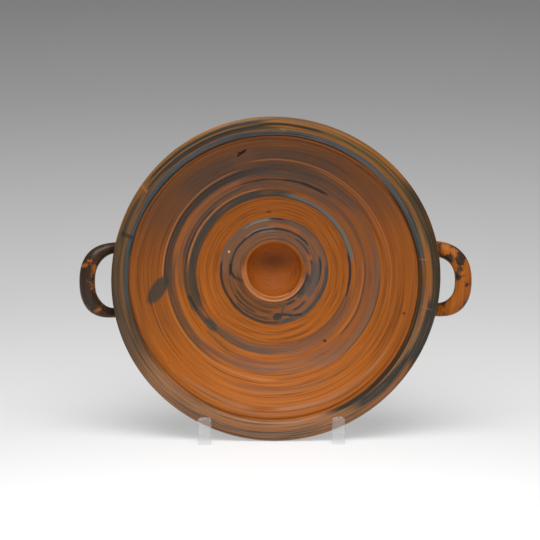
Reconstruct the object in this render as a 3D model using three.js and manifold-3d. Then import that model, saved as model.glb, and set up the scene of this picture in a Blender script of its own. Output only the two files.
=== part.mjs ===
// A two-handled kylix of fired clay, standing on its rim edge between a pair of clear acrylic display feet.
// Millimetres, +Z up. The mouth faces -Y and leans back a little; +X is to the right of someone facing it.

import * as THREE from 'three';
import * as BufferGeometryUtils from 'three/addons/utils/BufferGeometryUtils.js';
import Module from 'manifold-3d';

const wasm = await Module();
wasm.setup();

// The cup in its own frame: axis along +Z, foot on Z = 0. A depth is measured down from the rim plane.
const cupHeight = 68;
const wall = 5.6;
const cupFacets = 84;

// Rim: a broad rounded band, thrown a little off centre, so that it is wider on the right.
const rimRadius = 113;
const rimInnerRadius = 99.5;
const rimCrest = 2.6;
const rimSteps = 6;
const rimFaceDepth = 3.4;
const rimUnderDepth = 6.2;
const rimNeckRadius = 102;
const rimOffset = 1.6;

// A turned groove parts the rim from the concave field.
const grooveRadius = 98.3;
const grooveDepth = 1.9;
const fieldRadius = 97;
const fieldEdgeDepth = 1.1;

// The field falls as a power of the radius: steep under the rim and nearly flat round the well.
const bowlDepth = 37;
const fieldPower = 2.67;
const fieldSteps = 8;
const fieldInnerRadius = 24;

// Well in the middle of the floor, with two fine turned ridges round its mouth.
const wellRadius = 18.8;
const wellFloorDepth = 49.5;
const wellSteps = 5;
const ridge = 0.8;
const innerRidgeRadius = 19.8;
const betweenRidgesRadius = 21.1;
const outerRidgeRadius = 22.6;

// Low spreading foot, hollowed underneath.
const waistRadius = 31;
const waistDepth = 48;
const footRadius = 46;
const footEdge = 4;
const footEdgeDrop = 5;
const footBearing = 8;
const footHollow = 12;
const stemSteps = 4;
const wallSteps = 6;

// Handles: hand-rolled loops luted on under the rim, each a little different.
const handleSides = 12;
const handleSteps = 26;
const loopPower = 2.45;
const loopPoints = 10;
const rootRadialPosition = 80;
const rootDepth = 15;
const armDepth = 12.4;
const apexDepth = 4.5;
const rootFlare = 2;
const leftHandle = {
  side: -1, armX: 107, apexX: 128.3, midY: -2.4, halfSpan: 22.9, apexR: 5.45, upperR: 3.8, lowerR: 3.3,
};
const rightHandle = {
  side: 1, armX: 110, apexX: 130.6, midY: -1.7, halfSpan: 21.4, apexR: 5.8, upperR: 5.4, lowerR: 4.5,
};

// How the cup stands: leaning back, its lowest edge just clear of the floor, its weight on the two feet.
const leanBack = THREE.MathUtils.degToRad(4);
const floorClearance = 0.3;

// Acrylic display foot, cut from 9 mm sheet: a bar on the floor, a rounded lip in front of the rim and a
// rear arm that the underside of the cup leans on. Distances run back from the front of the lip.
const footWidth = 9;
const lipThickness = 6;
const lipHeight = 17.4;
const lipArch = 1.1;
const lipArcSteps = 8;
const seatHeight = 6.9;
const barLength = 68;
const armFrontFoot = 40;
const armTip = { back: 34.2, height: 42.5 };
const armCrown = { back: 43.5, height: 57 };
const armBackTop = 48;
const armBackFoot = 58;
const leftFootPlace = { x: -47.3, y: -9.9, turn: THREE.MathUtils.degToRad(2.5) };
const rightFootPlace = { x: 44.8, y: -8.6, turn: THREE.MathUtils.degToRad(-2) };

const clay = new THREE.MeshStandardMaterial({ name: 'clay', color: 0x8a5527, roughness: 0.55, metalness: 0 });
const acrylic = new THREE.MeshStandardMaterial({
  name: 'acrylic', color: 0xf2f5f6, roughness: 0.05, metalness: 0, transparent: true, opacity: 0.35,
});

// Closed geometry without seams, doubled points or collapsed triangles.
function welded(geometry) {
  const bare = geometry.clone();
  bare.deleteAttribute('normal');
  bare.deleteAttribute('uv');
  const merged = BufferGeometryUtils.mergeVertices(bare, 1e-4);
  const kept = [];
  const corners = merged.index.array;
  for (let i = 0; i < corners.length; i += 3) {
    const [a, b, c] = corners.slice(i, i + 3);
    if (a !== b && b !== c && c !== a) {
      kept.push(a, b, c);
    }
  }
  merged.setIndex(kept);
  return merged;
}

function toSolid(geometry) {
  const closed = welded(geometry);
  return new wasm.Manifold(new wasm.Mesh({
    numProp: 3,
    vertProperties: new Float32Array(closed.attributes.position.array),
    triVerts: new Uint32Array(closed.index.array),
  }));
}

function toGeometry(solid) {
  const mesh = solid.getMesh();
  const geometry = new THREE.BufferGeometry();
  geometry.setAttribute('position', new THREE.BufferAttribute(mesh.vertProperties, 3));
  geometry.setIndex(new THREE.BufferAttribute(mesh.triVerts, 1));
  geometry.computeVertexNormals();
  return geometry;
}

// Turned body about +Z from [radius, depth] points that start and end on the axis.
function turned(profile) {
  const points = profile.map(([radius, depth]) => new THREE.Vector2(radius, cupHeight - depth));
  const geometry = new THREE.LatheGeometry(points, cupFacets);
  geometry.rotateX(Math.PI / 2);
  return geometry;
}

function fieldDepth(radius) {
  return bowlDepth - (bowlDepth - fieldEdgeDepth) * (radius / fieldRadius) ** fieldPower;
}

// Depth of the outside of the wall, one wall thickness behind the field.
function wallDepth(radius) {
  const slope = (bowlDepth - fieldEdgeDepth) * fieldPower * radius ** (fieldPower - 1) / fieldRadius ** fieldPower;
  return fieldDepth(radius) + wall * Math.hypot(1, slope);
}

// Underside and outside, from the axis out and up to the rim.
function outsideProfile() {
  const points = [
    [0, cupHeight - footHollow],
    [footRadius - 2 * footBearing, cupHeight - footHollow + 1],
    [footRadius - footBearing, cupHeight - 1.5],
    [footRadius - footBearing + 1.5, cupHeight],
    [footRadius - 1, cupHeight],
    [footRadius, cupHeight - 1],
    [footRadius, cupHeight - footEdge],
  ];
  const stemTop = [waistRadius + 5, wallDepth(waistRadius + 5)];
  const stem = new THREE.CubicBezierCurve(
    new THREE.Vector2(footRadius - 2, cupHeight - footEdgeDrop),
    new THREE.Vector2(waistRadius - 1, waistDepth + 10),
    new THREE.Vector2(waistRadius - 1, waistDepth - 4),
    new THREE.Vector2(...stemTop),
  );
  stem.getPoints(stemSteps).forEach((point) => points.push([point.x, point.y]));
  for (let i = 1; i <= wallSteps; i += 1) {
    const radius = THREE.MathUtils.lerp(stemTop[0], fieldRadius, i / wallSteps);
    points.push([radius, wallDepth(radius)]);
  }
  points.push([rimNeckRadius, rimUnderDepth + 0.8]);
  points.push([rimRadius - 3, rimUnderDepth]);
  points.push([rimRadius - 0.6, rimFaceDepth]);
  return points;
}

// The rounded band, from its outer edge over the crest to its inner arris.
function rimProfile() {
  const middle = (rimRadius + rimInnerRadius) / 2;
  const half = (rimRadius - rimInnerRadius) / 2;
  const points = [];
  for (let i = 0; i <= rimSteps; i += 1) {
    const angle = Math.PI * i / rimSteps;
    points.push([middle + half * Math.cos(angle), -rimCrest * Math.sin(angle)]);
  }
  return points;
}

// Groove, field, ridges and well, from the rim down to the axis.
function insideProfile() {
  const points = [[grooveRadius, grooveDepth], [fieldRadius, fieldEdgeDepth]];
  for (let i = 1; i <= fieldSteps; i += 1) {
    const radius = THREE.MathUtils.lerp(fieldRadius, fieldInnerRadius, i / fieldSteps);
    points.push([radius, fieldDepth(radius)]);
  }
  const lipDepth = fieldDepth(outerRidgeRadius);
  points.push([outerRidgeRadius, lipDepth - ridge]);
  points.push([betweenRidgesRadius, lipDepth]);
  points.push([innerRidgeRadius, lipDepth - ridge]);
  for (let i = 0; i <= wellSteps; i += 1) {
    const angle = Math.PI / 2 * i / wellSteps;
    const lift = (wellFloorDepth - lipDepth) * Math.sin(angle);
    points.push([wellRadius * Math.cos(angle), lipDepth + lift]);
  }
  points[points.length - 1][0] = 0;
  return points;
}

// The band drifts to the right as it goes out from its inner arris.
function drift(radius) {
  return rimOffset * THREE.MathUtils.clamp((radius - rimInnerRadius) / (rimRadius - rimInnerRadius), 0, 1);
}

function offCentre(geometry) {
  const position = geometry.attributes.position;
  for (let i = 0; i < position.count; i += 1) {
    const radius = Math.hypot(position.getX(i), position.getY(i));
    position.setX(i, position.getX(i) + drift(radius));
  }
  return geometry;
}

// Centre line of a handle, from its lower root round the loop to its upper root.
function handleLine({ side, armX, apexX, midY, halfSpan }) {
  const root = (end) => new THREE.Vector3(
    side * rootRadialPosition, midY + end * halfSpan * 0.97, cupHeight - rootDepth,
  );
  const points = [root(-1)];
  for (let i = 0; i <= loopPoints; i += 1) {
    const angle = Math.PI * (i / loopPoints - 0.5);
    const out = Math.abs(Math.cos(angle)) ** (2 / loopPower);
    const up = Math.sign(angle) * Math.abs(Math.sin(angle)) ** (2 / loopPower);
    points.push(new THREE.Vector3(
      side * (armX + (apexX - armX) * out),
      midY + halfSpan * up,
      cupHeight - THREE.MathUtils.lerp(armDepth, apexDepth, out),
    ));
  }
  points.push(root(1));
  return new THREE.CatmullRomCurve3(points, false, 'centripetal');
}

// Thickness along a handle: full in the middle, thinner in the arms, flared where it meets the wall.
function handleRadius(share, { apexR, upperR, lowerR }) {
  const { lerp, smoothstep } = THREE.MathUtils;
  const arm = share < 0.5 ? lowerR : upperR;
  const fromEnd = Math.min(share, 1 - share);
  return lerp(arm, apexR, smoothstep(fromEnd, 0.23, 0.38)) + rootFlare * (1 - smoothstep(fromEnd, 0.1, 0.2));
}

// A rod bent along the handle's centre line.
function handleGeometry(handle) {
  const line = handleLine(handle);
  const frames = line.computeFrenetFrames(handleSteps, false);
  const rod = new THREE.CylinderGeometry(1, 1, 1, handleSides, handleSteps);
  const position = rod.attributes.position;
  const point = new THREE.Vector3();
  for (let i = 0; i < position.count; i += 1) {
    const share = position.getY(i) + 0.5;
    const step = Math.round(share * handleSteps);
    const radius = handleRadius(share, handle);
    line.getPointAt(share, point);
    point.addScaledVector(frames.binormals[step], position.getX(i) * radius);
    point.addScaledVector(frames.normals[step], position.getZ(i) * radius);
    position.setXYZ(i, point.x, point.y, point.z);
  }
  return rod;
}

// Space inside the cup, one third of a wall thickness too large, which trims the handle roots in the wall.
function rootTrimmer() {
  const inside = insideProfile().reverse();
  const deeper = inside.map(([radius, depth]) => [radius, depth + wall / 3]);
  return toSolid(turned([...deeper, [rimInnerRadius, 0], [rimInnerRadius, -cupHeight], [0, -cupHeight]]));
}

function kylixGeometry() {
  const body = toSolid(offCentre(turned([...outsideProfile(), ...rimProfile(), ...insideProfile()])));
  const trimmer = rootTrimmer();
  const handles = [leftHandle, rightHandle].map((handle) => toSolid(handleGeometry(handle)).subtract(trimmer));
  return toGeometry(body.add(handles[0]).add(handles[1]));
}

// Lip of a display foot: a plate with an arched top, across the front of the bar.
function lipGeometry() {
  const half = footWidth / 2;
  const outline = new THREE.Shape();
  outline.moveTo(-half, 0);
  outline.lineTo(half, 0);
  outline.lineTo(half, lipHeight);
  for (let i = 1; i < lipArcSteps; i += 1) {
    const across = half * Math.cos(Math.PI * i / lipArcSteps);
    outline.lineTo(across, lipHeight + lipArch * (1 - (across / half) ** 2));
  }
  outline.lineTo(-half, lipHeight);
  outline.closePath();
  const plate = new THREE.ExtrudeGeometry(outline, { depth: lipThickness, bevelEnabled: false });
  plate.applyMatrix4(new THREE.Matrix4().makeBasis(
    new THREE.Vector3(-1, 0, 0), new THREE.Vector3(0, 0, 1), new THREE.Vector3(0, 1, 0),
  ));
  return plate;
}

// Bar and rear arm of a display foot, one outline cut through the sheet.
function barGeometry() {
  const outline = new THREE.Shape();
  outline.moveTo(lipThickness / 2, 0);
  outline.lineTo(barLength, 0);
  outline.lineTo(barLength, seatHeight);
  outline.lineTo(armBackFoot, seatHeight);
  outline.lineTo(armBackTop, armCrown.height);
  outline.lineTo(armCrown.back, armCrown.height);
  outline.lineTo(armTip.back, armTip.height);
  outline.lineTo(armFrontFoot, seatHeight);
  outline.lineTo(lipThickness / 2, seatHeight);
  outline.closePath();
  const sheet = new THREE.ExtrudeGeometry(outline, { depth: footWidth, bevelEnabled: false });
  sheet.translate(0, 0, -footWidth / 2);
  sheet.applyMatrix4(new THREE.Matrix4().makeBasis(
    new THREE.Vector3(0, 1, 0), new THREE.Vector3(0, 0, 1), new THREE.Vector3(1, 0, 0),
  ));
  return sheet;
}

function displayFoot(name, { x, y, turn }) {
  const solid = toSolid(barGeometry()).add(toSolid(lipGeometry()));
  const mesh = new THREE.Mesh(toGeometry(solid), acrylic.clone());
  mesh.name = name;
  mesh.position.set(x, y, 0);
  mesh.rotation.z = turn;
  return mesh;
}

function standingKylix() {
  const mesh = new THREE.Mesh(kylixGeometry(), clay);
  mesh.name = 'kylix';
  mesh.rotation.x = Math.PI / 2 - leanBack;
  mesh.updateMatrixWorld(true);
  const lowestEdge = new THREE.Vector3(0, -rimRadius, cupHeight).applyMatrix4(mesh.matrixWorld);
  const bounds = new THREE.Box3().setFromObject(mesh, true);
  mesh.position.set(0, -lowestEdge.y, floorClearance - bounds.min.z);
  return mesh;
}

const display = new THREE.Group();
display.add(standingKylix());
display.add(displayFoot('display_foot_left', leftFootPlace));
display.add(displayFoot('display_foot_right', rightFootPlace));

// Origin on the floor under the middle of the whole object.
const whole = new THREE.Box3().setFromObject(display, true);
const middle = whole.getCenter(new THREE.Vector3());
display.position.set(-middle.x, -middle.y, -whole.min.z);

export default display;
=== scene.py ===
# A kylix of fired clay on its rim edge, held by two clear acrylic display feet.
# Metres, +Z up. The mouth faces -Y and leans back; the cup's own frame has its axis along +Z.

import math

import bmesh
import bpy
from mathutils import Matrix, Vector, noise


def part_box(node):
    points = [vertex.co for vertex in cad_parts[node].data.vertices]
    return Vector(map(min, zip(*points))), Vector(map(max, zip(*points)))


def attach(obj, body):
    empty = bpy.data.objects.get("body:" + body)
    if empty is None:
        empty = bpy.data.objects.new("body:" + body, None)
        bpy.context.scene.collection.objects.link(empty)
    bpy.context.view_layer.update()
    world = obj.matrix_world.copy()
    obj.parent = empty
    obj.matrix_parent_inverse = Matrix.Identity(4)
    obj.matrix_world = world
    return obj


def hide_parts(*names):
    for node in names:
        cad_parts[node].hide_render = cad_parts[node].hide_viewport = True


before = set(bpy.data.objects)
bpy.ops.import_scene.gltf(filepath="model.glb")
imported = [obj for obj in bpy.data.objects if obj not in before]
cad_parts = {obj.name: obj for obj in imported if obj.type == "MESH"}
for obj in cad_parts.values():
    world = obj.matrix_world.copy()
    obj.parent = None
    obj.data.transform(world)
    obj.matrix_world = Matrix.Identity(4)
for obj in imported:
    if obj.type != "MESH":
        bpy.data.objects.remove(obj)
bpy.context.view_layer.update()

# ---------------------------------------------------------------------------------------------
# Kylix, the clay. A shallow bowl thrown on the wheel with a broad rounded rim, a groove, a concave
# field and a ridged well, a turned foot luted on below and two hand-rolled loop handles luted on
# under the rim. It was fired as one piece, so it is one closed mesh.

MM = 0.001
CUP_HEIGHT = 68 * MM
LEAN_BACK = math.radians(4)
WALL = 5.6 * MM
TURNS = 288

RIM_RADIUS = 113 * MM
RIM_INNER_RADIUS = 99.5 * MM
RIM_CREST = 2.6 * MM
RIM_FACE_DEPTH = 3.4 * MM
RIM_UNDER_DEPTH = 6.2 * MM
RIM_NECK_RADIUS = 102 * MM
RIM_OFFSET = 1.2 * MM
WELL_OFFSET = (0.5 * MM, 0.6 * MM)
OUT_OF_ROUND = ((2, 0.28 * MM, 50), (3, 0.38 * MM, 6), (4, 0.28 * MM, 20))

GROOVE_RADIUS = 98.3 * MM
GROOVE_DEPTH = 1.9 * MM
FIELD_RADIUS = 97 * MM
FIELD_EDGE_DEPTH = 1.1 * MM
FIELD_INNER_RADIUS = 24 * MM
BOWL_DEPTH = 37 * MM
FIELD_POWER = 2.67

WELL_RADIUS = 18.8 * MM
WELL_FLOOR_DEPTH = 49.5 * MM
RIDGE = 0.8 * MM
INNER_RIDGE_RADIUS = 19.8 * MM
OUTER_RIDGE_RADIUS = 22.6 * MM

WAIST_RADIUS = 31 * MM
WAIST_DEPTH = 48 * MM
FOOT_RADIUS = 46 * MM
FOOT_EDGE = 4 * MM
FOOT_EDGE_DROP = 5 * MM
FOOT_BEARING = 8 * MM
FOOT_HOLLOW = 12 * MM

LEFT_HANDLE = dict(
    side=-1, arm_x=107 * MM, apex_x=128.3 * MM, mid_y=-2.4 * MM, half_span=22.9 * MM,
    apex_r=5.45 * MM, upper_r=3.8 * MM, lower_r=3.3 * MM, power=2.45,
)
RIGHT_HANDLE = dict(
    side=1, arm_x=110 * MM, apex_x=130.6 * MM, mid_y=-1.7 * MM, half_span=21.4 * MM,
    apex_r=5.8 * MM, upper_r=5.4 * MM, lower_r=4.5 * MM, power=2.45,
)
ROOT_X = 80 * MM
ROOT_DEPTH = 15 * MM
ARM_DEPTH = 12.4 * MM
APEX_DEPTH = 4.5 * MM
HANDLE_TUCK = 0.15 * MM
ROOT_FLARE = 2 * MM
HANDLE_SIDES = 36
HANDLE_STEPS = 90

low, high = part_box("kylix")
cup_place = Matrix.Translation((
    low[0] + LEFT_HANDLE["apex_x"] + LEFT_HANDLE["apex_r"],
    high[1] - FOOT_RADIUS * math.sin(LEAN_BACK),
    low[2] + RIM_RADIUS * math.cos(LEAN_BACK) - CUP_HEIGHT * math.sin(LEAN_BACK),
)) @ Matrix.Rotation(math.pi / 2 - LEAN_BACK, 4, "X")


def mix(a, b, share):
    return a + (b - a) * share


def smooth_step(value, start, end):
    share = min(max((value - start) / (end - start), 0), 1)
    return share * share * (3 - 2 * share)


def field_depth(radius):
    return BOWL_DEPTH - (BOWL_DEPTH - FIELD_EDGE_DEPTH) * (radius / FIELD_RADIUS) ** FIELD_POWER


def wall_depth(radius):
    slope = (BOWL_DEPTH - FIELD_EDGE_DEPTH) * FIELD_POWER / FIELD_RADIUS
    slope *= (radius / FIELD_RADIUS) ** (FIELD_POWER - 1)
    return field_depth(radius) + WALL * math.hypot(1, slope)


def throwing_lines(radius):
    """Height of the faint ridges that the potter's fingers left in the field."""
    coarse = noise.noise(Vector((radius / MM * 0.16, 3.1, 0)))
    fine = noise.noise(Vector((radius / MM * 0.55, 7.7, 0)))
    fade = smooth_step(FIELD_RADIUS - radius, 0, 3 * MM)
    return (0.32 * coarse + 0.10 * fine) * MM * fade


def bezier(a, b, c, d, steps):
    points = []
    for i in range(steps + 1):
        t = i / steps
        u = 1 - t
        points.append(tuple(
            u**3 * a[k] + 3 * u * u * t * b[k] + 3 * u * t * t * c[k] + t**3 * d[k] for k in (0, 1)
        ))
    return points


def outside_profile():
    """Underside, foot, stem and wall as (radius, depth), from the axis out to the rim."""
    bearing_inside = FOOT_RADIUS - FOOT_BEARING
    hollow = bezier(
        (0, CUP_HEIGHT - FOOT_HOLLOW), (FOOT_RADIUS * 0.5, CUP_HEIGHT - FOOT_HOLLOW),
        (bearing_inside - 4 * MM, CUP_HEIGHT - FOOT_HOLLOW + 2 * MM),
        (bearing_inside, CUP_HEIGHT - 1.5 * MM), 16,
    )
    bearing = bezier(
        (bearing_inside, CUP_HEIGHT - 1.5 * MM), (bearing_inside + 0.4 * MM, CUP_HEIGHT),
        (bearing_inside + 1 * MM, CUP_HEIGHT), (bearing_inside + 2 * MM, CUP_HEIGHT), 4,
    )
    edge = bezier(
        (FOOT_RADIUS - 1.6 * MM, CUP_HEIGHT), (FOOT_RADIUS - 0.2 * MM, CUP_HEIGHT),
        (FOOT_RADIUS, CUP_HEIGHT - 0.6 * MM), (FOOT_RADIUS, CUP_HEIGHT - 1.8 * MM), 6,
    )
    shoulder = bezier(
        (FOOT_RADIUS, CUP_HEIGHT - FOOT_EDGE + 0.6 * MM), (FOOT_RADIUS, CUP_HEIGHT - FOOT_EDGE - 0.4 * MM),
        (FOOT_RADIUS - 0.6 * MM, CUP_HEIGHT - FOOT_EDGE_DROP + 0.2 * MM),
        (FOOT_RADIUS - 2 * MM, CUP_HEIGHT - FOOT_EDGE_DROP), 5,
    )
    stem_top = WAIST_RADIUS + 5 * MM
    stem = bezier(
        (FOOT_RADIUS - 2 * MM, CUP_HEIGHT - FOOT_EDGE_DROP), (WAIST_RADIUS - 1 * MM, WAIST_DEPTH + 10 * MM),
        (WAIST_RADIUS - 1 * MM, WAIST_DEPTH - 4 * MM), (stem_top, wall_depth(stem_top)), 22,
    )
    wall = []
    wall_points = 50
    for i in range(1, wall_points + 1):
        radius = mix(stem_top, FIELD_RADIUS, i / wall_points)
        finger_marks = 0.15 * MM * noise.noise(Vector((radius / MM * 0.25, 11.3, 0)))
        wall.append((radius, wall_depth(radius) + finger_marks))
    under = bezier(
        wall[-1], (RIM_NECK_RADIUS - 2 * MM, RIM_UNDER_DEPTH + 1.6 * MM),
        (RIM_NECK_RADIUS, RIM_UNDER_DEPTH + 0.8 * MM),
        (RIM_NECK_RADIUS + 2 * MM, RIM_UNDER_DEPTH + 0.5 * MM), 8,
    )
    outer = bezier(
        (RIM_NECK_RADIUS + 4 * MM, RIM_UNDER_DEPTH + 0.3 * MM), (RIM_RADIUS - 1.2 * MM, RIM_UNDER_DEPTH),
        (RIM_RADIUS + 0.1 * MM, RIM_FACE_DEPTH + 0.6 * MM), (RIM_RADIUS, 0), 18,
    )
    return hollow + bearing[1:] + edge + shoulder + stem[1:] + wall + under[1:] + outer


def rim_profile():
    """The rounded band from its outer edge over the crest to its inner arris."""
    middle = (RIM_RADIUS + RIM_INNER_RADIUS) / 2
    half = (RIM_RADIUS - RIM_INNER_RADIUS) / 2
    steps = 26
    points = []
    for i in range(1, steps + 1):
        angle = math.pi * i / steps
        across = math.cos(angle)
        lift = RIM_CREST * (1 - abs(across) ** 2.6) ** (1 / 2.0)
        scoring = 0.10 * MM * noise.noise(Vector((across * 9, 5.5, 0))) * math.sin(angle)
        points.append((middle + half * across, -lift - scoring))
    return points


def inside_profile():
    """Groove, field, ridges and well, from the rim's inner arris down to the axis."""
    points = bezier(
        (RIM_INNER_RADIUS - 0.1 * MM, 0.7 * MM), (GROOVE_RADIUS + 0.9 * MM, GROOVE_DEPTH),
        (GROOVE_RADIUS + 0.2 * MM, GROOVE_DEPTH), (GROOVE_RADIUS - 0.4 * MM, GROOVE_DEPTH - 0.1 * MM), 5,
    )
    steps = 92
    for i in range(steps + 1):
        radius = mix(FIELD_RADIUS, FIELD_INNER_RADIUS, i / steps)
        points.append((radius, field_depth(radius) - throwing_lines(radius)))
    lip_depth = field_depth(OUTER_RIDGE_RADIUS)
    waves = 20
    for i in range(1, waves + 1):
        radius = mix(FIELD_INNER_RADIUS - 0.2 * MM, INNER_RIDGE_RADIUS - 0.5 * MM, i / waves)
        outer = math.exp(-(((radius - OUTER_RIDGE_RADIUS) / (0.75 * MM)) ** 2))
        inner = math.exp(-(((radius - INNER_RIDGE_RADIUS) / (0.65 * MM)) ** 2))
        points.append((radius, lip_depth - RIDGE * (outer + inner)))
    steps = 30
    for i in range(1, steps + 1):
        angle = math.pi / 2 * i / steps
        turning = 0.12 * MM * noise.noise(Vector((angle * 9, 1.7, 0))) * math.sin(angle) * math.cos(angle)
        drop = (WELL_FLOOR_DEPTH - lip_depth) * math.sin(angle) + turning
        points.append((WELL_RADIUS * math.cos(angle), lip_depth + drop))
    points[-1] = (0, WELL_FLOOR_DEPTH)
    return points


def hand_made(place):
    """How far a point of the thrown body strays from true: the band drifts right and is out of round."""
    radius = math.hypot(place.x, place.y)
    turn = math.atan2(place.y, place.x)
    band = min(max((radius - RIM_INNER_RADIUS) / (RIM_RADIUS - RIM_INNER_RADIUS), 0), 1)
    stray = sum(
        size * math.cos(order * (turn - math.radians(peak))) for order, size, peak in OUT_OF_ROUND
    ) * smooth_step(radius, 0.8 * FIELD_RADIUS, RIM_RADIUS)
    well = 1 - smooth_step(radius, 1.2 * FIELD_INNER_RADIUS, 2 * FIELD_INNER_RADIUS)
    outward = place.xy.normalized() * stray if radius else Vector((0, 0))
    return Vector((
        outward.x + RIM_OFFSET * band + WELL_OFFSET[0] * well, outward.y + WELL_OFFSET[1] * well, 0,
    ))


def thrown_body():
    """The body as a spun section, before the handles are luted on."""
    body = bmesh.new()
    section = outside_profile() + rim_profile() + inside_profile()
    verts = [body.verts.new((radius, 0, CUP_HEIGHT - depth)) for radius, depth in section]
    edges = [body.edges.new(pair) for pair in zip(verts, verts[1:])]
    bmesh.ops.spin(
        body, geom=verts + edges, cent=(0, 0, 0), axis=(0, 0, 1), angle=math.tau, steps=TURNS,
        use_merge=True,
    )
    bmesh.ops.remove_doubles(body, verts=body.verts, dist=0.002 * MM)
    for vert in body.verts:
        vert.co += hand_made(vert.co)
    bmesh.ops.recalc_face_normals(body, faces=body.faces)
    return body


def handle_line(side, arm_x, apex_x, mid_y, half_span, power, **sizes):
    """Centre line of a handle as evenly spaced points, from its lower root to its upper root."""
    coarse = []
    for end in (-1, 1):
        approach = 14
        arm = []
        for i in range(approach):
            share = i / approach
            arm.append(Vector((
                side * mix(ROOT_X, arm_x, share), mid_y + end * half_span * mix(0.97, 1, share),
                CUP_HEIGHT - mix(ROOT_DEPTH, ARM_DEPTH, share),
            )))
        if end < 0:
            coarse += arm
            loop = 120
            for i in range(loop + 1):
                angle = math.pi * (i / loop - 0.5)
                out = abs(math.cos(angle)) ** (2 / power)
                up = math.copysign(abs(math.sin(angle)) ** (2 / power), angle)
                coarse.append(Vector((
                    side * (mix(arm_x, apex_x, out) - HANDLE_TUCK), mid_y + half_span * up,
                    CUP_HEIGHT - mix(ARM_DEPTH, APEX_DEPTH, out),
                )))
        else:
            coarse += arm[::-1]
    lengths = [0]
    for a, b in zip(coarse, coarse[1:]):
        lengths.append(lengths[-1] + (b - a).length)
    line = []
    k = 0
    for i in range(HANDLE_STEPS + 1):
        target = lengths[-1] * i / HANDLE_STEPS
        while k < len(lengths) - 2 and lengths[k + 1] < target:
            k += 1
        share = (target - lengths[k]) / max(lengths[k + 1] - lengths[k], 1e-9)
        line.append(coarse[k].lerp(coarse[k + 1], min(share, 1)))
    for _ in range(3):
        eased = [(a + b * 2 + c) / 4 for a, b, c in zip(line, line[1:], line[2:])]
        line = [line[0], *eased, line[-1]]
    return line


def handle_radius(share, apex_r, upper_r, lower_r, **sizes):
    arm = lower_r if share < 0.5 else upper_r
    from_end = min(share, 1 - share)
    full = mix(arm, apex_r, smooth_step(from_end, 0.23, 0.38))
    return full + ROOT_FLARE * (1 - smooth_step(from_end, 0.1, 0.2))


def rolled_handle(handle):
    """A hand-rolled coil bent along the handle's line, its roots flattened inside the wall."""
    coil = bmesh.new()
    bmesh.ops.create_cone(coil, cap_ends=True, segments=HANDLE_SIDES, radius1=1, radius2=1, depth=1)
    long_edges = [e for e in coil.edges if abs(e.verts[0].co.z - e.verts[1].co.z) > 0.5]
    bmesh.ops.subdivide_edges(coil, edges=long_edges, cuts=HANDLE_STEPS - 1)
    line = handle_line(**handle)
    for vert in coil.verts:
        step = round((vert.co.z + 0.5) * HANDLE_STEPS)
        ahead = (line[min(step + 1, HANDLE_STEPS)] - line[max(step - 1, 0)]).normalized()
        across = Vector((0, 0, 1)).cross(ahead).normalized()
        radius = handle_radius(step / HANDLE_STEPS, **handle)
        place = line[step] + (across * vert.co.x + ahead.cross(across) * vert.co.y) * radius
        from_axis = math.hypot(place.x, place.y)
        if from_axis < FIELD_RADIUS:
            place.z = min(place.z, CUP_HEIGHT - field_depth(from_axis) - WALL / 3)
        vert.co = place
    bmesh.ops.recalc_face_normals(coil, faces=coil.faces)
    return coil


def into_object(shape, name, materials=()):
    mesh = bpy.data.meshes.new(name)
    shape.to_mesh(mesh)
    shape.free()
    for material in materials:
        mesh.materials.append(material)
    made = bpy.data.objects.new(name, mesh)
    bpy.context.collection.objects.link(made)
    return made


def with_modifiers_applied(made):
    """Replaces an object's mesh by what its modifiers make of it."""
    evaluated = made.evaluated_get(bpy.context.evaluated_depsgraph_get())
    finished = bpy.data.meshes.new_from_object(evaluated)
    made.modifiers.clear()
    made.data = finished


FIELD_CLAY, MIDDLE_CLAY, BAND_CLAY, OUTSIDE_CLAY, HANDLE_CLAY = range(5)

body = thrown_body()
for face in body.faces:
    centre = face.calc_center_median()
    from_axis = math.hypot(centre.x, centre.y)
    depth = CUP_HEIGHT - centre.z
    skin = WELL_FLOOR_DEPTH if from_axis < INNER_RIDGE_RADIUS else field_depth(min(from_axis, FIELD_RADIUS))
    if depth > skin + WALL / 2:
        face.material_index = OUTSIDE_CLAY
    elif from_axis > GROOVE_RADIUS:
        face.material_index = BAND_CLAY
    else:
        face.material_index = MIDDLE_CLAY if from_axis < 2 * OUTER_RIDGE_RADIUS else FIELD_CLAY


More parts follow.
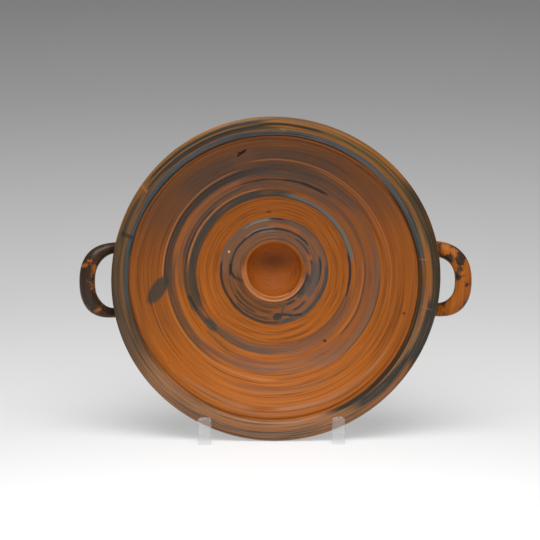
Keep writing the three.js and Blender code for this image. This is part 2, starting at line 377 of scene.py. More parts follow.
class Mark:
    """A socket in a material's node tree. Arithmetic on it adds Math nodes."""

    def __init__(self, tree, socket):
        self.tree = tree
        self.socket = socket

    def node(self, kind, settings, inputs, out=0):
        """Adds any node: its settings first, then the values or links of its sockets."""
        made = self.tree.nodes.new(kind)
        for name, value in settings.items():
            if name == "stops":
                while len(made.color_ramp.elements) < len(value):
                    made.color_ramp.elements.new(0.5)
                for element, (position, colour) in zip(made.color_ramp.elements, value):
                    element.position = position
                    element.color = colour
            else:
                setattr(made, name, value)
        for place, value in inputs.items():
            if isinstance(value, Mark):
                self.tree.links.new(value.socket, made.inputs[place])
            else:
                made.inputs[place].default_value = value
        return Mark(self.tree, made.outputs[out]) if made.outputs else None

    def maths(self, operation, *values):
        inputs = {0: self}
        inputs.update({i + 1: value for i, value in enumerate(values)})
        return self.node("ShaderNodeMath", {"operation": operation}, inputs)

    def __add__(self, other):
        return self.maths("ADD", other)

    def __radd__(self, other):
        return self.maths("ADD", other)

    def __sub__(self, other):
        return self.maths("SUBTRACT", other)

    def __rsub__(self, other):
        return self.node("ShaderNodeMath", {"operation": "SUBTRACT"}, {0: other, 1: self})

    def __mul__(self, other):
        return self.maths("MULTIPLY", other)

    def __rmul__(self, other):
        return self.maths("MULTIPLY", other)

    def __truediv__(self, other):
        return self.maths("DIVIDE", other)

    def __pow__(self, other):
        return self.maths("POWER", other)

    def __mod__(self, other):
        return self.maths("FLOORED_MODULO", other)

    def __abs__(self):
        return self.maths("ABSOLUTE")

    def larger(self, other):
        return self.maths("MAXIMUM", other)

    def smaller(self, other):
        return self.maths("MINIMUM", other)

    def rise(self, start, end):
        """0 below start, 1 above end, smooth between."""
        values = {0: self, 1: start, 2: end, 3: 0.0, 4: 1.0}
        return self.node("ShaderNodeMapRange", {"interpolation_type": "SMOOTHSTEP"}, values)

    def fall(self, start, end):
        """1 below start, 0 above end, smooth between."""
        values = {0: self, 1: start, 2: end, 3: 1.0, 4: 0.0}
        return self.node("ShaderNodeMapRange", {"interpolation_type": "SMOOTHSTEP"}, values)

    def near(self, middle, half, soft):
        """1 within half of middle, 0 past half plus soft."""
        return abs(self - middle).fall(half, half + soft)

    def over(self, colour, share):
        """This colour painted over by another, by share."""
        return self.node(
            "ShaderNodeMix", {"data_type": "RGBA"}, {0: share, 6: self, 7: colour}, out=2,
        )


def srgb(red, green, blue):
    """A colour as the eye names it, 0 to 255, turned into light."""
    shares = [value / 255 for value in (red, green, blue)]
    light = [((share + 0.055) / 1.055) ** 2.4 if share > 0.04 else share / 12.92 for share in shares]
    return (*light, 1.0)


class CupMark(Mark):
    """A material's starting point: its node tree and where each spot lies on the cup, in millimetres."""

    def __init__(self, material):
        material.use_nodes = True
        tree = material.node_tree
        tree.nodes.clear()
        here = Mark(tree, None).node("ShaderNodeTexCoord", {}, {}, out=3)
        to_cup = cup_place.inverted()
        place = here.node("ShaderNodeMapping", {"vector_type": "POINT"}, {
            0: here, 1: to_cup.to_translation() / MM, 2: to_cup.to_euler(), 3: (1 / MM, 1 / MM, 1 / MM),
        })
        super().__init__(tree, place.socket)
        self.x, self.y, self.z = (
            self.node("ShaderNodeSeparateXYZ", {}, {0: self}, out=i) for i in range(3)
        )
        plain = (self.x * self.x + self.y * self.y) ** 0.5
        band = (plain - RIM_INNER_RADIUS / MM) / ((RIM_RADIUS - RIM_INNER_RADIUS) / MM)
        trued = self.x - band.larger(0.0).smaller(1.0) * (RIM_OFFSET / MM)
        self.radius = (trued * trued + self.y * self.y) ** 0.5
        self.east = self.x / self.radius.larger(0.1)
        self.north = self.y / self.radius.larger(0.1)
        ragged_ends = (self.streaks(0.9, 2.0, 64) - 0.5) * 14
        self.turn = self.y.maths("ARCTAN2", trued) * math.degrees(1) + ragged_ends
        self.wavy = self.radius + (self.streaks(60, 1.6, 9, detail=2.0) - 0.5) * 1.5
        self.dryness = [
            self.streaks(1.3, 2.6, 20).rise(0.30, 0.52), self.streaks(0.8, 1.8, 31).rise(0.28, 0.55),
            self.streaks(2.4, 4.5, 47, detail=5.0).rise(0.33, 0.56),
        ]

    def bearing(self, middle):
        """Degrees round the cup from middle, -180 to 180, anticlockwise as seen from the mouth."""
        return (self.turn + (540 - middle)) % 360 - 180

    def arc(self, start, end, fade):
        """1 from start to end degrees, counted from the right handle upwards, gone past fade."""
        half = (end - start) / 2
        return abs(self.bearing((start + end) / 2)).fall(half, half + fade)

    def spot(self, turn, radius, long_half, wide_half, lean, soft=0.2):
        """An oval spot. Lean turns its long side from the outward direction, in degrees anticlockwise."""
        at = math.radians(turn)
        along = math.radians(turn + lean)
        from_x = self.ragged_x - radius * math.cos(at)
        from_y = self.ragged_y - radius * math.sin(at)
        u = (from_x * math.cos(along) + from_y * math.sin(along)) / long_half
        v = (from_y * math.cos(along) - from_x * math.sin(along)) / wide_half
        return ((u * u + v * v) ** 0.5).fall(1 - soft, 1 + soft)

    def dash(self, start, end, width, soft=0.4):
        """A straight stroke between two (degrees, millimetres) places."""
        (ax, ay), (bx, by) = (
            (radius * math.cos(math.radians(turn)), radius * math.sin(math.radians(turn)))
            for turn, radius in (start, end)
        )
        length = math.hypot(bx - ax, by - ay)
        ux, uy = (bx - ax) / length, (by - ay) / length
        from_x, from_y = self.ragged_x - ax, self.ragged_y - ay
        along = from_x * ux + from_y * uy
        past = along - along.larger(0.0).smaller(length)
        across = from_y * ux - from_x * uy
        return ((past * past + across * across) ** 0.5).fall(width / 2, width / 2 + soft)

    def roughened(self, size, reach, seed):
        """Makes the edges of spots and dashes ragged by reach millimetres."""
        moved = self.grain(size, seed)
        other = self.grain(size, seed + 5)
        self.ragged_x = self.x + (moved - 0.5) * reach
        self.ragged_y = self.y + (other - 0.5) * reach

    def streaks(self, across, around, seed, detail=3.0):
        """Noise drawn out along the wheel's turning: across in millimetres, around in streaks per turn."""
        lined = self.node("ShaderNodeCombineXYZ", {}, {
            0: self.east * around, 1: self.north * around, 2: self.radius / across + seed,
        })
        return self.node("ShaderNodeTexNoise", {"noise_dimensions": "3D"}, {
            "Vector": lined, "Scale": 1.0, "Detail": detail, "Roughness": 0.6,
        })

    def grain(self, size, seed, detail=3.0):
        """Plain noise, size in millimetres."""
        shift = (seed, seed * 1.7, seed * 2.3)
        moved = self.node("ShaderNodeVectorMath", {"operation": "ADD"}, {0: self, 1: shift})
        return self.node("ShaderNodeTexNoise", {"noise_dimensions": "3D"}, {
            "Vector": moved, "Scale": 1 / size, "Detail": detail, "Roughness": 0.6,
        })

    def finish(self, colour, roughness, height, depth_mm):
        """The clay's shader: colour and roughness from marks, and a relief of depth_mm."""
        relief = self.node("ShaderNodeBump", {}, {
            "Strength": 1.0, "Distance": depth_mm * MM, "Height": height,
        })
        shader = self.node("ShaderNodeBsdfPrincipled", {}, {
            "Base Color": colour, "Roughness": roughness, "Normal": relief, "Specular IOR Level": 0.2,
        })
        self.node("ShaderNodeOutputMaterial", {}, {"Surface": shader})


CLAY = srgb(150, 80, 16)
CLAY_PALE = srgb(172, 96, 26)
CLAY_DEEP = srgb(112, 58, 12)
CREAM = srgb(214, 180, 124)

# Slip brushed on the field while the cup turned, each stroke laid over the ones before: colour,
# strength, radius, half width and soft edge in millimetres, start, end and fade in degrees, and for
# some how far the stroke drifts outward, in millimetres to the degree.
FIELD_STROKES = (
    (srgb(96, 72, 52), 0.62, 86.5, 11.0, 2.5, 42, 148, 26),
    (srgb(84, 72, 62), 0.55, 82, 7, 4, 68, 128, 18),
    (srgb(126, 78, 44), 0.35, 87, 10, 2.5, 148, 200, 22),
    (srgb(142, 84, 42), 0.30, 88, 9, 3, -20, 42, 20),
    (srgb(190, 106, 34), 0.75, 97.7, 0.7, 0.5, 0, 360, 0),
    (srgb(130, 78, 30), 0.55, 96.2, 0.4, 0.5, 205, 262, 12),
    (srgb(138, 80, 32), 0.45, 95.0, 0.4, 0.5, 262, 330, 12),
    (srgb(168, 120, 84), 0.50, 92.6, 0.6, 0.7, 232, 256, 8),
    (srgb(166, 118, 84), 0.50, 92.2, 0.7, 0.7, 276, 322, 10),
    (srgb(140, 84, 40), 0.50, 81.2, 0.8, 0.8, 255, 330, 10),
    (srgb(186, 108, 50), 0.70, 81.2, 0.35, 0.3, -5, 95, 10),
    (srgb(186, 106, 46), 0.60, 79.3, 0.4, 0.4, -10, 60, 15),
    (srgb(190, 118, 60), 0.80, 76.9, 0.35, 0.3, 112, 178, 6, -0.012),
    (srgb(56, 58, 55), 0.88, 73.3, 2.0, 0.5, 98, 183, 14),
    (srgb(86, 72, 62), 0.70, 72.4, 2.4, 1.2, 46, 98, 14),
    (srgb(116, 84, 64), 0.60, 72.4, 1.5, 0.9, -30, 46, 12),
    (srgb(42, 44, 42), 0.70, 75.2, 0.25, 0.3, 108, 181, 8),
    (srgb(92, 74, 62), 0.70, 65.5, 5.0, 2.0, 58, 128, 22),
    (srgb(126, 82, 54), 0.45, 63, 6.0, 2.0, 128, 182, 14),
    (srgb(128, 84, 56), 0.40, 64, 6.5, 2.0, -20, 58, 14),
    (srgb(44, 46, 42), 0.90, 66.2, 0.45, 0.5, 57, 106, 6),
    (srgb(36, 40, 38), 0.80, 66.4, 0.8, 0.5, 60, 72, 4),
    (srgb(84, 66, 52), 0.60, 69.4, 0.3, 0.3, 45, 72, 6),
    (srgb(166, 102, 56), 0.75, 68.4, 1.1, 0.8, 114, 174, 12),
    (srgb(152, 96, 60), 0.60, 65.2, 0.6, 0.5, 116, 176, 10),
    (srgb(80, 72, 62), 0.80, 63.5, 0.5, 0.5, 112, 166, 8),
    (srgb(56, 56, 52), 0.85, 61.2, 0.6, 0.5, 136, 186, 10),
    (srgb(106, 76, 54), 0.65, 64.0, 0.5, 0.4, 0, 50, 10),
    (srgb(96, 74, 58), 0.60, 62.6, 0.5, 0.4, 22, 60, 10),
    (srgb(180, 118, 68), 0.85, 59.6, 0.4, 0.4, 104, 168, 8),
    (srgb(64, 63, 57), 0.90, 56.0, 2.3, 0.7, 80, 196, 12),
    (srgb(108, 112, 106), 0.90, 54.9, 1.3, 0.7, 14, 76, 7),
    (srgb(72, 68, 60), 0.70, 53.4, 0.4, 0.3, 10, 80, 6),
    (srgb(40, 46, 50), 0.90, 53.2, 0.7, 0.4, -9, 12, 5),
    (srgb(84, 68, 50), 0.80, 58.6, 3.2, 1.2, 184, 202, 12),
    (srgb(96, 72, 52), 0.70, 70.6, 2.8, 1.4, 180, 222, 18),
    (srgb(190, 116, 48), 0.60, 74.4, 0.4, 0.4, 190, 266, 10),
    (srgb(188, 108, 46), 0.60, 67.3, 0.8, 0.6, 182, 245, 12),
    (srgb(92, 70, 52), 0.60, 72.6, 0.35, 0.3, 190, 236, 10),
    (srgb(96, 74, 56), 0.80, 56.4, 1.7, 0.9, 224, 262, 22),
    (srgb(112, 78, 56), 0.65, 68.6, 1.2, 1.0, 232, 268, 12),
    (srgb(110, 80, 62), 0.60, 70.2, 0.9, 0.8, 284, 314, 12),
    (srgb(136, 86, 56), 0.55, 65.5, 2.2, 1.5, 250, 305, 16),
    (srgb(112, 78, 56), 0.65, 54.4, 2.2, 1.0, 236, 335, 20),
    (srgb(84, 66, 52), 0.60, 52.3, 0.3, 0.3, 292, 336, 8),
    (srgb(134, 94, 68), 0.70, 71.6, 2.0, 0.8, 304, 366, 14),
    (srgb(88, 72, 60), 0.75, 73.8, 0.25, 0.3, 316, 354, 8),
    (srgb(138, 86, 56), 0.55, 66.5, 2.5, 1.5, 300, 360, 14),
    (srgb(86, 66, 50), 0.75, 63.6, 0.35, 0.3, 322, 364, 8),
    (srgb(188, 108, 52), 0.65, 62.0, 0.35, 0.3, 320, 362, 8),
    (srgb(124, 84, 60), 0.55, 57.8, 2.0, 1.5, 284, 328, 14),
    (srgb(42, 48, 54), 0.90, 53.2, 0.5, 0.3, 343, 364, 5),
)

# Slip in the middle, inside the reserved ring, in the same order.
MIDDLE_STROKES = (
    (srgb(128, 90, 66), 0.80, 29.4, 8.2, 0.4, 20, 190, 20),
    (srgb(124, 80, 48), 0.62, 29.4, 8.2, 0.4, 190, 280, 16),
    (srgb(128, 92, 70), 0.62, 29.4, 8.2, 0.4, 288, 372, 14),
    (srgb(172, 96, 44), 0.75, 32.2, 1.0, 0.8, 60, 92, 8),
    (srgb(168, 98, 52), 0.60, 25.5, 1.5, 1.5, 4, 26, 8, 0.12),
    (srgb(70, 68, 62), 0.70, 37.4, 0.35, 0.3, -10, 85, 8),
    (srgb(42, 47, 49), 0.90, 37.0, 0.55, 0.3, 82, 95, 4),
    (srgb(136, 132, 122), 0.85, 36.6, 0.9, 0.5, 97, 122, 6),
    (srgb(102, 98, 90), 0.80, 37.0, 0.45, 0.4, 120, 168, 8),
    (srgb(48, 44, 38), 0.90, 36.5, 0.7, 0.3, 174, 226, 8),
    (srgb(62, 56, 48), 0.80, 36.9, 0.8, 0.4, 224, 270, 10),
    (srgb(70, 72, 68), 0.88, 36.7, 1.2, 0.5, 282, 360, 10),
    (srgb(44, 49, 52), 0.90, 29.8, 0.55, 0.4, 42, 170, 8),
    (srgb(128, 128, 122), 0.75, 30.8, 0.35, 0.4, 92, 126, 6),
    (srgb(120, 116, 110), 0.60, 28.0, 0.4, 0.6, 90, 108, 6),
    (srgb(34, 35, 34), 0.92, 29.9, 0.8, 0.5, 172, 184, 4),
    (srgb(66, 66, 70), 0.80, 27.0, 0.6, 0.5, 28, 52, 8),
    (srgb(96, 84, 78), 0.60, 35.6, 0.6, 0.5, 46, 78, 8),
    (srgb(48, 50, 56), 0.85, 32.2, 0.6, 0.6, -16, 14, 6, 0.05),
    (srgb(44, 46, 52), 0.85, 27.0, 0.6, 0.6, -18, 13, 6),
    (srgb(70, 62, 50), 0.75, 34.4, 0.5, 0.6, 226, 262, 8),
    (srgb(62, 54, 42), 0.80, 32.2, 0.4, 0.5, 216, 242, 8),
    (srgb(72, 58, 44), 0.70, 29.4, 0.7, 0.8, 212, 262, 10),
    (srgb(84, 60, 42), 0.60, 25.4, 1.0, 1.0, 196, 282, 10),
    (srgb(66, 66, 66), 0.80, 31.0, 0.7, 0.5, 298, 314, 4),
    (srgb(52, 52, 52), 0.85, 25.6, 0.7, 0.5, 290, 304, 5),
    (srgb(62, 62, 64), 0.75, 25.0, 1.8, 1.0, 316, 348, 8),
    (srgb(92, 86, 82), 0.70, 29.0, 2.4, 1.2, 328, 366, 10),
    (srgb(54, 54, 58), 0.80, 23.4, 0.4, 0.4, 296, 352, 8),
)

# Slip on the rim band; its last stroke is painted shade along the groove rather than slip.
BAND_STROKES = (
    (srgb(104, 78, 48), 0.90, 106, 9.0, 0.3, 0, 360, 0),
    (srgb(132, 92, 42), 0.70, 108, 5.0, 1.0, 5, 98, 16),
    (srgb(96, 76, 54), 0.70, 107, 5.0, 1.0, 104, 158, 12),
    (srgb(74, 66, 52), 0.85, 106.5, 7.0, 0.5, 166, 202, 10),
    (srgb(100, 78, 58), 0.80, 106.5, 7.0, 0.5, 206, 236, 14),
    (srgb(164, 116, 80), 0.85, 106.5, 7.0, 0.5, 222, 298, 16),
    (srgb(140, 104, 70), 0.80, 106.5, 7.0, 0.5, 304, 350, 14),
    (srgb(142, 98, 42), 0.80, 112, 0.8, 0.5, 98, 162, 10),
    (srgb(126, 84, 40), 0.70, 104.8, 0.7, 0.6, 164, 198, 8),
    (srgb(158, 90, 40), 0.60, 106.0, 0.7, 0.6, -14, 30, 8),
    (srgb(52, 40, 26), 0.85, 100.6, 1.1, 0.5, -62, 34, 12),
    (srgb(58, 52, 40), 0.80, 110.4, 1.6, 0.8, -6, 32, 10),
    (srgb(84, 76, 52), 0.80, 107.6, 0.7, 0.5, 18, 78, 8),
    (srgb(86, 68, 40), 0.60, 109.6, 0.3, 0.3, 0, 60, 8),
    (srgb(50, 47, 38), 0.90, 108.4, 0.5, 0.5, 76, 102, 6, 0.07),
    (srgb(44, 44, 38), 0.90, 110.4, 0.55, 0.5, 98, 136, 8, -0.01),
    (srgb(54, 50, 42), 0.85, 107.4, 0.7, 0.7, 96, 140, 8),
    (srgb(118, 90, 60), 0.60, 108.9, 0.4, 0.4, 100, 140, 8),
    (srgb(62, 54, 44), 0.80, 105.8, 0.5, 0.5, 92, 130, 8),
    (srgb(60, 58, 50), 0.80, 108.2, 0.9, 0.6, 150, 162, 5),
    (srgb(74, 82, 84), 0.96, 102.5, 1.7, 0.4, 14, 140, 10),
    (srgb(72, 80, 82), 0.96, 101.6, 1.6, 0.5, 128, 184, 10),
    (srgb(32, 35, 35), 0.90, 100.4, 0.5, 0.3, 60, 136, 12),
    (srgb(32, 35, 35), 0.90, 100.4, 0.5, 0.3, 138, 168, 6),
    (srgb(118, 106, 96), 0.55, 108.2, 0.8, 0.8, 244, 280, 12),
    (srgb(52, 55, 54), 0.85, 108.6, 2.0, 1.0, 331, 349, 6),
    (srgb(60, 60, 56), 0.85, 105.6, 2.2, 1.4, 306, 328, 7, 0.12),
    (srgb(58, 54, 44), 0.80, 111.0, 0.9, 0.6, 332, 362, 8),
    (srgb(166, 98, 54), 0.75, 109.2, 0.7, 0.5, 302, 328, 4),
    (srgb(34, 32, 26), 0.70, 112.8, 0.3, 0.3, -50, 30, 10),
    # Painted shade: a thin dark line all round in the groove, where the groove's shade falls.
    (srgb(30, 28, 24), 0.85, 98.9, 0.35, 0.3, 0, 360, 0),
)


STROKE_SHAPE = ("Radius", "Half", "Soft", "Start", "End", "Fade", "Lean")
DRY_BRUSH = 0.34
LOADED_BRUSH = 0.66
STROKE_COVER = 1.15
FULL_COVER = 0.96
FIRED_DARK = 0.84


def brush_group():
    """One stroke of a brush held against the turning cup: a node group that lays slip on a colour."""
    tree = bpy.data.node_groups.new("brush stroke", "ShaderNodeTree")
    names = ("Place", "Turn", "Dryness", "Covered", "Strength", *STROKE_SHAPE, "Under", "Slip")
    for name in names:
        kind = "NodeSocketColor" if name in ("Under", "Slip") else "NodeSocketFloat"
        tree.interface.new_socket(name, in_out="INPUT", socket_type=kind)
    tree.interface.new_socket("Over", in_out="OUTPUT", socket_type="NodeSocketColor")
    tree.interface.new_socket("Covered", in_out="OUTPUT", socket_type="NodeSocketFloat")
    start = Mark(tree, None)
    given = {name: start.node("NodeGroupInput", {}, {}, out=i) for i, name in enumerate(names)}
    bearing = (given["Turn"] - (given["Start"] + given["End"]) * 0.5 + 540) % 360 - 180
    place = given["Place"] - bearing * given["Lean"]
    half_arc = (given["End"] - given["Start"]) * 0.5
    share = place.near(given["Radius"], given["Half"], given["Soft"])
    share = share * abs(bearing).fall(half_arc, half_arc + given["Fade"])
    share = share * (given["Dryness"] * DRY_BRUSH + LOADED_BRUSH) * given["Strength"]
    start.node("NodeGroupOutput", {}, {
        0: given["Under"].over(given["Slip"], share), 1: given["Covered"].larger(share),
    })
    return tree


brush = brush_group()


def brushed(cup, colour, strokes):
    """Lays strokes over a colour in turn, each as dry as the brush was. Also tells where slip now lies."""
    covered = 0.0
    for i, (slip, strength, *shape) in enumerate(strokes):
        values = dict(zip(STROKE_SHAPE, shape), Place=cup.wavy, Turn=cup.turn, Covered=covered)
        values.update(Dryness=cup.dryness[i % 3], Strength=min(strength * STROKE_COVER, FULL_COVER))
        values.update(Under=colour, Slip=[light * FIRED_DARK for light in slip[:3]] + [1])
        colour = cup.node("ShaderNodeGroup", {"node_tree": brush}, values)
        covered = Mark(cup.tree, colour.socket.node.outputs[1])
    return colour, covered


def clay_ground(name, seed):
    """A clay material begun: bare fired clay with the wheel's fine lines, before any slip."""
    cup = CupMark(bpy.data.materials.new(name))
    cup.roughened(2.2, 1.2, 3)
    cup.fine = cup.streaks(0.7, 1.4, seed)
    cup.speckle = cup.grain(1.1, 17, detail=4.0)
    broad = cup.streaks(5.0, 1.2, 40 + seed)
    colour = cup.node("ShaderNodeMix", {"data_type": "RGBA"}, {
        0: cup.fine.rise(0.38, 0.7), 6: CLAY, 7: CLAY_PALE,
    }, out=2)
    return cup, colour.over(CLAY_DEEP, broad.rise(0.5, 0.75) * 0.5)


def worn(cup, colour, slip, gloss=0.22):
    """Wear over all: scratches along the turning, pin holes, crumbs of lime. Slip is glossier."""
    colour = colour.over(srgb(30, 24, 18), cup.fine.fall(0.32, 0.46) * 0.4)
    colour = colour.over(CREAM, cup.speckle.rise(0.70, 0.78) * 0.5)
    colour = colour.over(srgb(50, 36, 24), cup.speckle.fall(0.26, 0.32) * 0.45)
    cup.finish(colour, slip * -gloss + 0.62, cup.fine * 0.7 + cup.speckle * 0.3, 0.12)


def marked(colour, marks):
    """Lays single marks over a colour: each is a colour and where it lies."""
    for laid, share in marks:
        colour = colour.over(laid, share)
    return colour


cup, colour = clay_ground("clay field", 0)
colour, slip = brushed(cup, colour, FIELD_STROKES)
colour = marked(colour, (
    (srgb(60, 60, 54), cup.spot(187, 80.6, 10.2, 5.2, 48) * 0.88),
    (srgb(48, 48, 44), cup.dash((195.6, 61), (206, 59.6), 1.5) * 0.92),
    (srgb(60, 60, 54), cup.dash((205, 59.6), (216, 58.4), 2.4) * 0.85),
    (srgb(60, 60, 54), cup.spot(220.5, 57.2, 2.6, 5.6, 0, soft=0.35) * 0.85),
    (srgb(104, 74, 44), cup.dash((222, 61.6), (240, 63.6), 0.8) * 0.8),
    (srgb(116, 74, 48), cup.spot(104, 84.5, 8.0, 7.6, 0, soft=0.35) * 0.55),
    (srgb(112, 66, 38), cup.spot(72.5, 87, 4.0, 1.4, 8, soft=0.4) * 0.7),
    (srgb(60, 46, 34), cup.spot(306.4, 60, 1.3, 0.9, 20, soft=0.5) * 0.8),
    (srgb(110, 66, 40), cup.spot(344.6, 93, 1.2, 1.0, 20, soft=0.5) * 0.7),
    (srgb(24, 18, 14), cup.dash((102.2, 91), (106, 88.2), 1.3) * 0.95),
))
worn(cup, colour, slip)
field_clay = bpy.data.materials["clay field"]

cup, colour = clay_ground("clay middle", 7)
colour, slip = brushed(cup, colour, MIDDLE_STROKES)
colour = marked(colour, (
    (srgb(54, 42, 30), cup.dash((181, 30), (190, 27.6), 1.6) * 0.85),
    (srgb(70, 50, 32), cup.dash((190, 27.6), (205, 20.8), 1.4) * 0.85),
    (srgb(50, 52, 49), cup.spot(274.6, 32.8, 2.5, 3.4, 14, soft=0.15) * 0.92),
    (srgb(52, 54, 52), cup.dash((279, 31.4), (290, 33.6), 1.5) * 0.88),
    (srgb(46, 48, 46), cup.dash((290, 33.8), (302, 36.2), 1.3) * 0.88),
    (srgb(76, 66, 54), cup.dash((280, 31), (285.5, 26.4), 1.1) * 0.8),
    (srgb(60, 34, 16), cup.spot(94.6, 42.0, 0.7, 1.5, 0, soft=0.4) * 0.9),
    (CREAM, cup.spot(156.6, 33.8, 0.9, 0.8, 0, soft=0.4) * 0.9),
    # Painted highlight: a pale pinkish band on the well's ridged lip, on its lower side only, where the lip
    # faces the lamp above.
    (srgb(190, 122, 74), cup.radius.near(20.4, 1.6, 0.7) * cup.arc(190, 330, 30) * 0.75),
    (srgb(24, 22, 20), cup.radius.near(18.9, 0.25, 0.25) * cup.arc(308, 372, 10) * 0.85),
))
mouth = ((cup.x - WELL_OFFSET[0] / MM) ** 2 + (cup.y - WELL_OFFSET[1] / MM) ** 2) ** 0.5
colour = colour.over(srgb(160, 84, 24), mouth.fall(18.6, 19.2))
# Painted shadow: the well's floor just above its centre is darkened where the shade under the well's upper
# lip falls.
worn(cup, colour.over(srgb(74, 34, 10), cup.spot(90, 5.0, 6.5, 11.0, 0, soft=0.9) * 0.62), slip)
middle_clay = bpy.data.materials["clay middle"]

cup, colour = clay_ground("clay band", 13)
colour, slip = brushed(cup, colour, BAND_STROKES)
colour = marked(colour, (
    (srgb(30, 36, 36), cup.dash((162.8, 102), (162.4, 108), 2.0, 0.9) * 0.7),
    (srgb(190, 106, 46), cup.dash((144.4, 106.5), (143.6, 112), 0.6, 0.9) * 0.4),
    (srgb(168, 112, 62), cup.spot(86.5, 104.8, 0.6, 2.0, 0, soft=0.5) * 0.8),
    # Painted glint: a thin cream stroke on the band's inner side at the right, where the gloss catches the
    # light.
    (srgb(186, 150, 96), cup.dash((8.4, 101.5), (8.0, 105.5), 0.3, 0.7) * 0.35),
    (srgb(176, 96, 40), cup.dash((349.8, 104), (349.4, 110), 0.4, 0.8) * 0.4),
))
scratches = cup.streaks(0.8, 1.6, 77, detail=6.0).rise(0.50, 0.60)
worn(cup, colour.over(srgb(36, 35, 30), scratches * 0.62), slip, 0.3)
band_clay = bpy.data.materials["clay band"]

# Outside, the cup is dipped in black slip, worn brown, with the stem's foot edge and underside left bare.
cup, colour = clay_ground("clay outside", 21)
patches = cup.grain(14, 8, detail=4.0)
depth = CUP_HEIGHT / MM - cup.z
dipped = depth.fall(60.5, 61.5) * cup.streaks(3.0, 2.5, 3).rise(0.30, 0.42)
colour = colour.over(srgb(46, 42, 36), dipped * patches.fall(0.58, 0.70) * 0.92)
colour = colour.over(srgb(92, 64, 42), cup.streaks(1.6, 2.0, 12).rise(0.52, 0.66) * 0.5)
worn(cup, colour, dipped)
outside_clay = bpy.data.materials["clay outside"]

cup, colour = clay_ground("clay handles", 29)
patches = cup.grain(9, 3, detail=6.0)
on_right = cup.x.rise(-1, 1)
at_roots = abs(cup.y + 2).rise(14, 24)
bare = patches + on_right * 0.15 - 0.05 + at_roots * 0.05 - cup.y.rise(2, 12) * on_right * 0.05
slip = bare.fall(0.50, 0.60)
colour = colour.over(srgb(34, 34, 30), slip * 0.93)
worn(cup, colour, slip, 0.36)
handle_clay = bpy.data.materials["clay handles"]

CLAYS = (field_clay, middle_clay, band_clay, outside_clay, handle_clay)

kylix = into_object(body, "kylix_clay", CLAYS)


def joined(tool, operation):
    """Cuts or adds a shape, which is used up."""
    change = kylix.modifiers.new(operation, "BOOLEAN")
    change.operation = operation
    change.solver = "EXACT"
    change.object = tool
    with_modifiers_applied(kylix)
    bpy.data.objects.remove(tool)


# Knocks: the gouge in the field and small pits, as degrees round, radius, half length, half width,
# depth in millimetres, and lean in degrees.
KNOCKS = (
    (104.1, 89.6, 3.9, 0.9, 1.0, 62), (103.0, 90.6, 1.4, 1.1, 0.9, 40), (94.6, 42.0, 1.3, 0.6, 0.7, 80),
    (306.4, 60.0, 1.2, 0.9, 0.8, 20), (344.6, 93.0, 1.2, 0.9, 0.7, 20), (219.4, 93.2, 0.9, 0.8, 0.5, 0),
)
knocks = bmesh.new()
for turn, radius, long_half, wide_half, deep, lean in KNOCKS:
    at = math.radians(turn)
    place = Matrix.Translation((
        radius * MM * math.cos(at), radius * MM * math.sin(at), CUP_HEIGHT - field_depth(radius * MM),
    ))
    turned = Matrix.Rotation(at + math.radians(lean), 4, "Z")
    size = Matrix.Diagonal((long_half * MM, wide_half * MM, deep * MM, 1))
    bmesh.ops.create_icosphere(knocks, subdivisions=2, radius=1, matrix=place @ turned @ size)
joined(into_object(knocks, "knocks", CLAYS), "DIFFERENCE")

for handle in (LEFT_HANDLE, RIGHT_HANDLE):
    coil = rolled_handle(handle)
    for face in coil.faces:
        face.material_index = HANDLE_CLAY
    joined(into_object(coil, "handle coil", CLAYS), "UNION")
kylix.data.transform(cup_place)
kylix.data.shade_smooth()
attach(kylix, "root")
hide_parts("kylix")

# ---------------------------------------------------------------------------------------------
# Display feet, clear acrylic. Each is cut from sheet with its edges broken and flame polished, so
# that every edge and the arched top of the lip catch the light.

acrylic = bpy.data.materials.new("clear acrylic")
acrylic.use_nodes = True
gloss = acrylic.node_tree.nodes["Principled BSDF"]
gloss.inputs["Base Color"].default_value = (0.96, 0.97, 0.98, 1)
gloss.inputs["Roughness"].default_value = 0.05
gloss.inputs["Transmission Weight"].default_value = 0.7
gloss.inputs["Alpha"].default_value = 0.3
gloss.inputs["IOR"].default_value = 1.49

for node_name in ("display_foot_left", "display_foot_right"):
    cut = bmesh.new()
    cut.from_mesh(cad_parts[node_name].data)
    bmesh.ops.remove_doubles(cut, verts=cut.verts, dist=0.01 * MM)
    bmesh.ops.dissolve_limit(cut, angle_limit=math.radians(1), verts=cut.verts, edges=cut.edges)
    sharp = [edge for edge in cut.edges if edge.calc_face_angle(0) > math.radians(30)]
    bmesh.ops.bevel(
        cut, geom=sharp, offset=0.5 * MM, affect="EDGES", segments=3, profile=0.5, material=-1,
        clamp_overlap=True,
    )
    bmesh.ops.recalc_face_normals(cut, faces=cut.faces)
    foot = into_object(cut, node_name + "_polished", (acrylic,))
    foot.data.shade_smooth()
    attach(foot, "root")
    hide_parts(node_name)

# ---------------------------------------------------------------------------------------------
# Stage: a pale sweep with a pool of light painted on it and a faint glow of its own, soft light from above
# and in front, and a camera a little above the cup's axis.

VIEW_ABOVE_AXIS = math.radians(10.6)
VIEW_DISTANCE = 2.4
PICTURE_WIDTH = 0.3706
SHIFT_RIGHT = -0.0098
SHIFT_UP = 0.0185

rim_centre = cup_place @ Vector((RIM_OFFSET, 0, CUP_HEIGHT))
elevation = LEAN_BACK + VIEW_ABOVE_AXIS
lens = bpy.data.cameras.new("camera")
lens.sensor_width = 36
lens.lens = lens.sensor_width * VIEW_DISTANCE / PICTURE_WIDTH
lens.shift_x = SHIFT_RIGHT
lens.shift_y = SHIFT_UP
camera = bpy.data.objects.new("camera", lens)
bpy.context.collection.objects.link(camera)
camera.location = rim_centre + VIEW_DISTANCE * Vector((0, -math.cos(elevation), math.sin(elevation)))
camera.rotation_euler = (math.pi / 2 - elevation, 0, 0)
bpy.context.scene.camera = camera

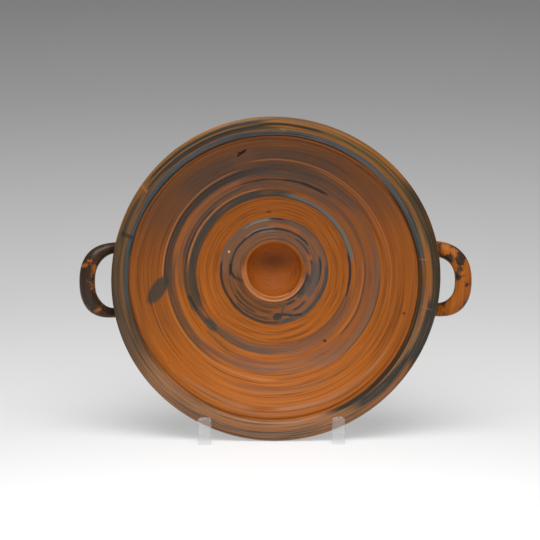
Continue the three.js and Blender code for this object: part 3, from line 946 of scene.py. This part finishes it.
SWEEP_HALF_WIDTH = 4.0
LIGHT_POOL_CENTRE = -0.45
LIGHT_POOL_REACH = 2.6
SWEEP_FRONT = -3.0
SWEEP_BACK = 2.2
SWEEP_CURVE = 0.6
SWEEP_TOP = 3.5
SWEEP_STEPS = 24
# Grey of the paper by distance from a spot in front of the cup: a pool of light painted on the sweep,
# brightest in front.
LIGHT_POOL_TONES = (
    (0.08, 0.62), (0.12, 0.53), (0.18, 0.445), (0.31, 0.356), (0.47, 0.29), (0.62, 0.226), (0.82, 0.171),
    (1, 0.14),
)

sweep = bmesh.new()
path = [(SWEEP_FRONT, 0), (SWEEP_BACK, 0)]
for i in range(1, SWEEP_STEPS + 1):
    angle = math.pi / 2 * i / SWEEP_STEPS
    path.append((SWEEP_BACK + SWEEP_CURVE * math.sin(angle), SWEEP_CURVE * (1 - math.cos(angle))))
path.append((SWEEP_BACK + SWEEP_CURVE, SWEEP_TOP))
verts = [sweep.verts.new((-SWEEP_HALF_WIDTH, y, z)) for y, z in path]
edges = [sweep.edges.new(pair) for pair in zip(verts, verts[1:])]
drawn = bmesh.ops.extrude_edge_only(sweep, edges=edges)
moved = [item for item in drawn["geom"] if isinstance(item, bmesh.types.BMVert)]
bmesh.ops.translate(sweep, verts=moved, vec=(2 * SWEEP_HALF_WIDTH, 0, 0))
paper = bpy.data.materials.new("paper")
paper.use_nodes = True
paper.node_tree.nodes.clear()
spot_on_paper = Mark(paper.node_tree, None).node("ShaderNodeTexCoord", {}, {}, out=3)
east, north = (spot_on_paper.node("ShaderNodeSeparateXYZ", {}, {0: spot_on_paper}, out=i) for i in (0, 1))
from_light_pool = (east * east + (north - LIGHT_POOL_CENTRE) ** 2) ** 0.5
painted_light_tone = from_light_pool.node("ShaderNodeValToRGB", {
    "stops": [(at, (grey, grey, grey, 1)) for at, grey in LIGHT_POOL_TONES],
}, {0: from_light_pool / LIGHT_POOL_REACH})
# The paper glows by its own emission in the same painted tones, which lifts the shade under the cup.
sheet = painted_light_tone.node("ShaderNodeBsdfPrincipled", {}, {
    "Base Color": painted_light_tone, "Roughness": 0.9, "Emission Color": painted_light_tone, "Emission Strength": 0.85,
})
sheet.node("ShaderNodeOutputMaterial", {}, {"Surface": sheet})
backdrop = into_object(sweep, "paper sweep", (paper,))
backdrop.data.shade_smooth()


def soft_light(name, power, size, place, aim):
    lamp = bpy.data.lights.new(name, "AREA")
    lamp.energy = power
    lamp.shape = "RECTANGLE"
    lamp.size, lamp.size_y = size
    made = bpy.data.objects.new(name, lamp)
    bpy.context.collection.objects.link(made)
    made.location = place
    made.rotation_euler = (Vector(aim) - Vector(place)).to_track_quat("-Z", "Y").to_euler()


soft_light("overhead", 17, (1.2, 0.7), (0, -0.45, 1.25), (0, 0, 0.1))
soft_light("front", 10, (1.6, 1.0), (0, -1.9, 1.5), (0, 0, 0.1))

world = bpy.data.worlds.new("studio")
world.use_nodes = True
world.node_tree.nodes["Background"].inputs["Color"].default_value = (1, 1, 1, 1)
world.node_tree.nodes["Background"].inputs["Strength"].default_value = 0.2
bpy.context.scene.world = world
bpy.context.scene.view_settings.view_transform = "Standard"
